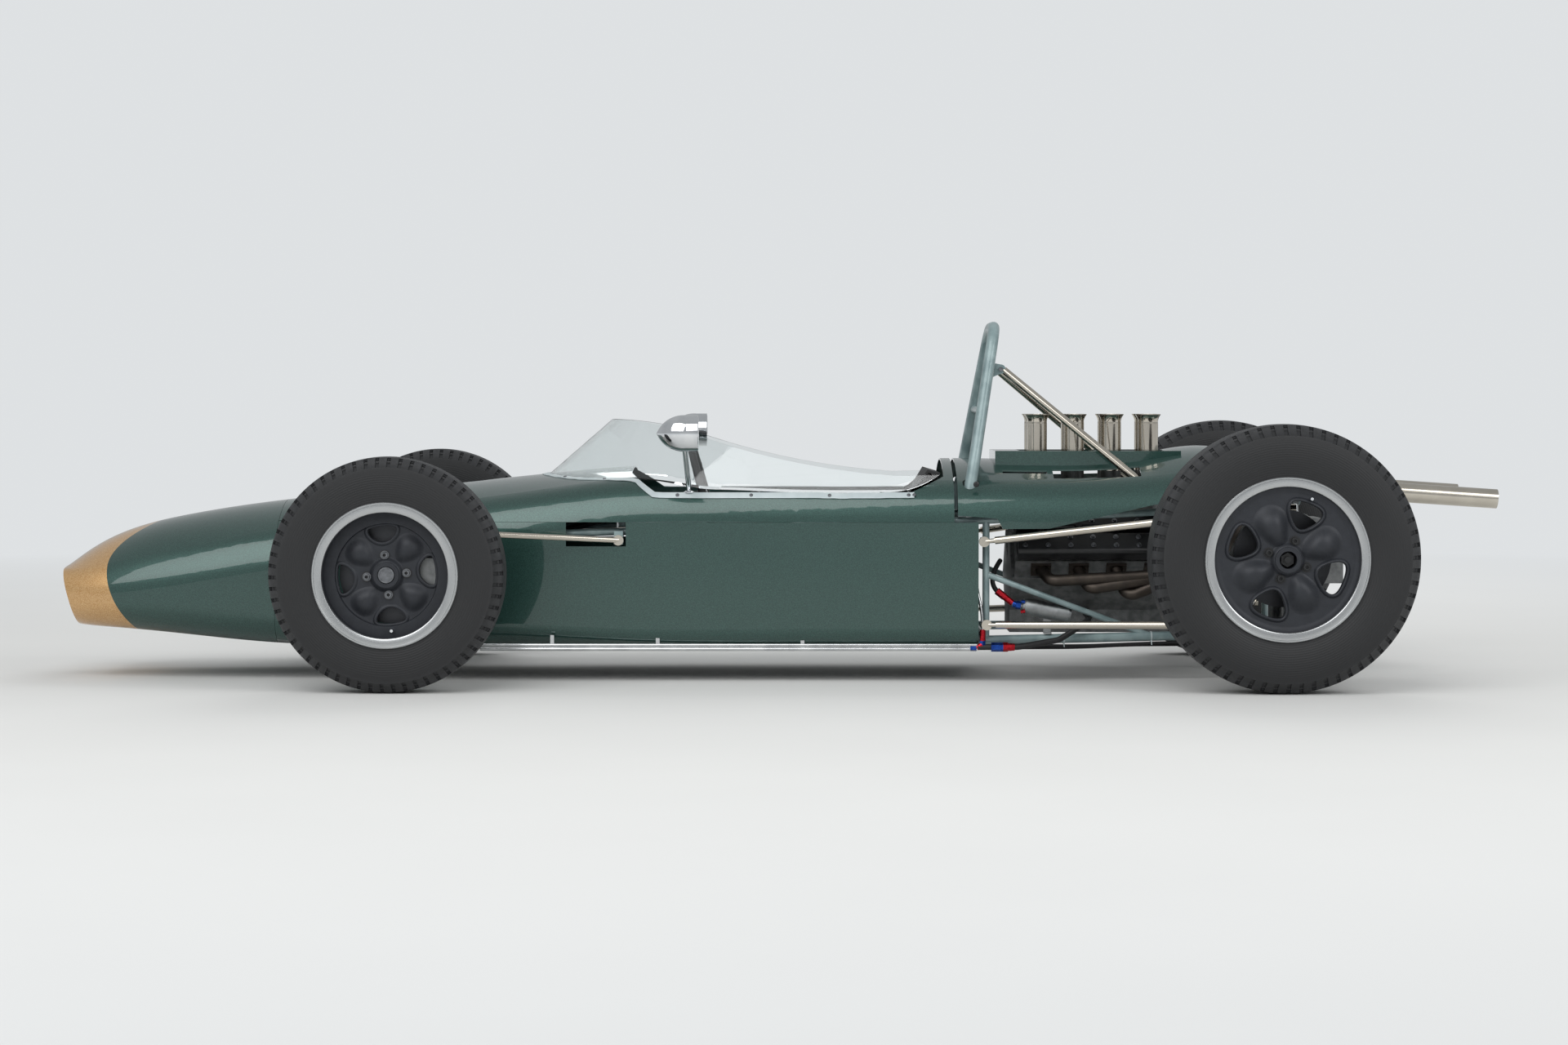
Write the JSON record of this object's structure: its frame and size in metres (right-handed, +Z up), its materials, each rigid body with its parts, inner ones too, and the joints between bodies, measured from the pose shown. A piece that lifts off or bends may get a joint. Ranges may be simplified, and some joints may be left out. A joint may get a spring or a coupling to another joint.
{
  "type": "open wheel racing car",
  "caption": "Mid-1960s single-seat open wheel racing car with a tubular frame, an open engine behind the driver, and rolling, steering wheels.",
  "frame": {"origin": "on the ground below the middle of the car", "axes": "+X towards the tail, +Y towards the driver's right, +Z up"},
  "size_m": [3.8924, 1.5578, 0.9699],
  "materials": {
    "body_paint": "gloss metallic",
    "frame_paint": "satin",
    "black_paint": "satin",
    "nickel_plate": "polished",
    "chrome_plate": "mirror polished",
    "polished_tube": "polished",
    "bare_alloy": "satin",
    "cast_alloy": "as cast",
    "cast_iron": "machined",
    "black_steel": "semi gloss",
    "exhaust_steel": "heat stained",
    "wheel_magnesium": "matt with machined lip",
    "tyre_rubber": "matt",
    "rubber_hose": "matt",
    "clear_screen": "clear",
    "seat_leather": "satin"
  },
  "bodies": {
    "chassis": {"frame_tubes": "frame_paint", "frame_cross_tubes": "frame_paint", "roll_hoop": "frame_paint", "roll_hoop_stays": "nickel_plate", "nose_cone": "body_paint", "cockpit_cowl": "body_paint", "side_panels": "body_paint", "floor_tray": "bare_alloy", "engine_cover": "body_paint", "windscreen": "clear_screen", "dashboard": "bare_alloy", "seat": "seat_leather", "gear_lever": "black_steel", "mirrors": "chrome_plate", "engine_block": "cast_alloy", "cam_covers": "black_paint", "inlet_trumpets": "nickel_plate", "exhausts": "exhaust_steel", "gearbox": "cast_alloy", "radiator": "black_paint", "fuel_pump": "bare_alloy", "fluid_lines": "rubber_hose", "side_pipes": "polished_tube", "rack_housing": "bare_alloy", "front_lower_wishbones": "nickel_plate", "front_upper_arms": "nickel_plate", "front_spring_dampers": "black_steel", "rear_uprights": "cast_alloy", "rear_top_links": "nickel_plate", "rear_lower_wishbones": "nickel_plate", "rear_radius_rods": "nickel_plate", "rear_spring_dampers": "black_steel"},
    "steering_wheel": {"steering_wheel": "seat_leather", "steering_column": "black_steel"},
    "steering_rack": {"steering_rack": "bare_alloy"},
    "knuckle_left": {"front_upright_left": "cast_alloy"},
    "knuckle_right": {"front_upright_right": "cast_alloy"},
    "wheel_assembly_front_left": {"wheel_front_left": "wheel_magnesium", "tyre_front_left": "tyre_rubber", "brake_disc_front_left": "cast_iron"},
    "wheel_assembly_front_right": {"wheel_front_right": "wheel_magnesium", "tyre_front_right": "tyre_rubber", "brake_disc_front_right": "cast_iron"},
    "wheel_assembly_rear_left": {"wheel_rear_left": "wheel_magnesium", "tyre_rear_left": "tyre_rubber", "brake_disc_rear_left": "cast_iron"},
    "wheel_assembly_rear_right": {"wheel_rear_right": "wheel_magnesium", "tyre_rear_right": "tyre_rubber", "brake_disc_rear_right": "cast_iron"}
  },
  "joints": [
    {"name": "steer_left", "type": "hinge", "parent": "chassis", "child": "knuckle_left", "pos_m": [-0.9945, -0.6, 0.305], "axis": [0, 0, 1], "range_deg": [-18, 18]},
    {"name": "steer_right", "type": "hinge", "parent": "chassis", "child": "knuckle_right", "pos_m": [-0.9945, 0.6, 0.305], "axis": [0, 0, 1], "range_deg": [-18, 18]},
    {"name": "rack_slide", "type": "slide", "parent": "chassis", "child": "steering_rack", "axis": [0, 1, 0], "range_m": [-0.0315, 0.0315]},
    {"name": "steering_wheel_turn", "type": "hinge", "parent": "chassis", "child": "steering_wheel", "pos_m": [-0.1945, 0, 0.498], "axis": [0.9655, 0, 0.2605], "range_deg": [-180.5, 180.5]},
    {"name": "roll_front_left", "type": "hinge", "parent": "knuckle_left", "child": "wheel_assembly_front_left", "pos_m": [-0.9945, -0.665, 0.305], "axis": [0, 1, 0], "continuous": true},
    {"name": "roll_front_right", "type": "hinge", "parent": "knuckle_right", "child": "wheel_assembly_front_right", "pos_m": [-0.9945, 0.665, 0.305], "axis": [0, 1, 0], "continuous": true},
    {"name": "roll_rear_left", "type": "hinge", "parent": "chassis", "child": "wheel_assembly_rear_left", "pos_m": [1.3165, -0.675, 0.347], "axis": [0, 1, 0], "continuous": true},
    {"name": "roll_rear_right", "type": "hinge", "parent": "chassis", "child": "wheel_assembly_rear_right", "pos_m": [1.3165, 0.675, 0.347], "axis": [0, 1, 0], "continuous": true}
  ],
  "couplings": [
    {"joint": "steer_right", "follows": "steer_left", "ratio": 1},
    {"joint": "rack_slide", "follows": "steer_left", "m_per_rad": -0.1},
    {"joint": "steering_wheel_turn", "follows": "steer_left", "ratio": 10}
  ]
}
